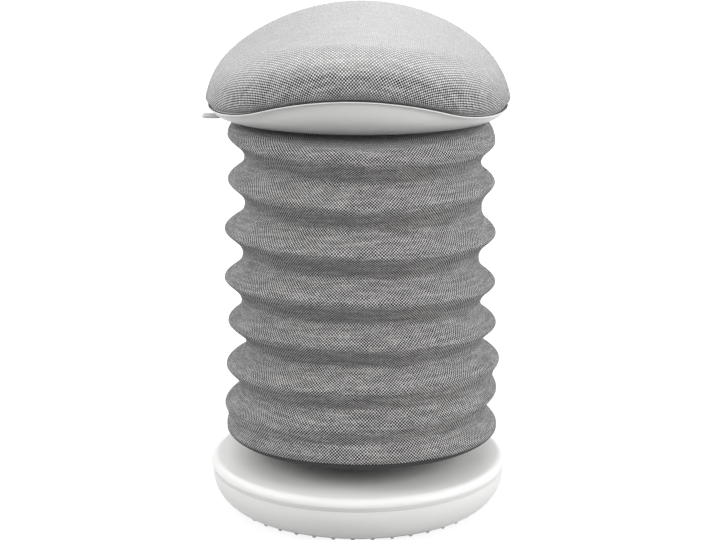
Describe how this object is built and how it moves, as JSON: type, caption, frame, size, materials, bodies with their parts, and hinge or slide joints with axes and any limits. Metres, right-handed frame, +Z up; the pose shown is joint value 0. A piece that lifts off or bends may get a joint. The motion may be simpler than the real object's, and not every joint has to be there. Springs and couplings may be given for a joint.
{
  "type": "office stool",
  "caption": "Height-adjustable office stool with a saddle-bent upholstered seat, a ridged fabric bellows round the gas column and a round weighted base.",
  "frame": {"origin": "centre of the sole's underside, on the column's axis", "axes": "+Z up along the column, -Y the way the sitter faces, +X to the sitter's left"},
  "size_m": [0.37, 0.36, 0.6025],
  "materials": {
    "upholstery": "woven melange, matt",
    "knit": "knitted melange, matt",
    "white_plastic": "fine satin moulding",
    "grey_rubber": "matt",
    "black_steel": "satin black paint",
    "bright_steel": "ground and plated",
    "zinc_steel": "zinc plated",
    "black_plastic": "fine satin moulding",
    "grey_plastic": "fine satin moulding",
    "black_rubber": "matt",
    "foam": "open-cell foam",
    "plywood": "sanded birch plywood",
    "iron": "cast, painted"
  },
  "bodies": {
    "base": {"grip_sole": "grey_rubber", "base_lower_shell": "white_plastic", "base_top_cover": "white_plastic", "cover_screws": "zinc_steel", "foot_plate": "zinc_steel", "ballast_ring": "iron", "ballast_bolts": "zinc_steel", "column_hub": "black_steel", "column_collar": "black_plastic", "column_tube": "black_steel", "column_bush": "black_plastic", "lower_race": "bright_steel", "ball_cage": "bright_steel", "rod_washer": "zinc_steel"},
    "spindle": {"upper_race": "bright_steel", "rod_clip": "zinc_steel", "piston_rod": "bright_steel", "bump_stop": "black_rubber", "piston": "zinc_steel"},
    "seat": {"gas_tube": "bright_steel", "rod_seal": "black_plastic", "valve_plug": "zinc_steel", "taper_socket": "black_steel", "seat_plate": "black_steel", "seat_bolts": "zinc_steel", "seat_nuts": "zinc_steel", "seat_shell": "white_plastic", "shell_screws": "zinc_steel", "seat_board": "plywood", "seat_foam": "foam", "seat_cover": "upholstery", "lever_bracket": "black_steel", "pivot_pin": "zinc_steel", "bellows_sleeve": "knit", "hanger_ring": "black_plastic", "hanger_screws": "zinc_steel"},
    "release_pin": {"release_pin": "zinc_steel"},
    "lever": {"release_lever": "black_steel", "lever_grip": "grey_plastic"},
    "hoop_1": {"bellows_hoop_1": "black_steel"},
    "hoop_2": {"bellows_hoop_2": "black_steel"},
    "hoop_3": {"bellows_hoop_3": "black_steel"},
    "hoop_4": {"bellows_hoop_4": "black_steel"},
    "hoop_5": {"bellows_hoop_5": "black_steel"},
    "hoop_6": {"bellows_hoop_6": "black_steel"},
    "hoop_7": {"bellows_hoop_7": "black_steel"},
    "hoop_8": {"bellows_hoop_8": "black_steel"}
  },
  "joints": [
    {"name": "seat_swivel", "type": "hinge", "parent": "base", "child": "spindle", "pos_m": [0, 0, 0], "axis": [0, 0, 1], "continuous": true},
    {"name": "seat_height", "type": "slide", "parent": "spindle", "child": "seat", "axis": [0, 0, 1], "range_m": [-0.13, 0], "deforming": ["bellows_sleeve"]},
    {"name": "lever_lift", "type": "hinge", "parent": "seat", "child": "lever", "pos_m": [-0.06, 0, 0.49625], "axis": [0, 1, 0], "range_deg": [0, 2.5], "stiffness_Nm_per_rad": 5, "springref_deg": -2.86},
    {"name": "release_pin_press", "type": "slide", "parent": "seat", "child": "release_pin", "axis": [0, 0, -1], "range_m": [0, 0.0027]},
    {"name": "hoop_1_rise", "type": "slide", "parent": "seat", "child": "hoop_1", "axis": [0, 0, 1], "range_m": [0, 0.10954]},
    {"name": "hoop_2_rise", "type": "slide", "parent": "seat", "child": "hoop_2", "axis": [0, 0, 1], "range_m": [0, 0.09938]},
    {"name": "hoop_3_rise", "type": "slide", "parent": "seat", "child": "hoop_3", "axis": [0, 0, 1], "range_m": [0, 0.08689]},
    {"name": "hoop_4_rise", "type": "slide", "parent": "seat", "child": "hoop_4", "axis": [0, 0, 1], "range_m": [0, 0.07208]},
    {"name": "hoop_5_rise", "type": "slide", "parent": "seat", "child": "hoop_5", "axis": [0, 0, 1], "range_m": [0, 0.05669]},
    {"name": "hoop_6_rise", "type": "slide", "parent": "seat", "child": "hoop_6", "axis": [0, 0, 1], "range_m": [0, 0.03898]},
    {"name": "hoop_7_rise", "type": "slide", "parent": "seat", "child": "hoop_7", "axis": [0, 0, 1], "range_m": [0, 0.02068]},
    {"name": "hoop_8_rise", "type": "slide", "parent": "seat", "child": "hoop_8", "axis": [0, 0, 1], "range_m": [0, 0.005]}
  ],
  "couplings": [
    {"joint": "release_pin_press", "follows": "lever_lift", "m_per_rad": 0.06},
    {"joint": "hoop_1_rise", "follows": "seat_height", "ratio": -0.84255},
    {"joint": "hoop_2_rise", "follows": "seat_height", "ratio": -0.76437},
    {"joint": "hoop_3_rise", "follows": "seat_height", "ratio": -0.66832},
    {"joint": "hoop_4_rise", "follows": "seat_height", "ratio": -0.55441},
    {"joint": "hoop_5_rise", "follows": "seat_height", "ratio": -0.43601},
    {"joint": "hoop_6_rise", "follows": "seat_height", "ratio": -0.29976},
    {"joint": "hoop_7_rise", "follows": "seat_height", "ratio": -0.15904},
    {"joint": "hoop_8_rise", "follows": "seat_height", "ratio": -0.038423}
  ]
}
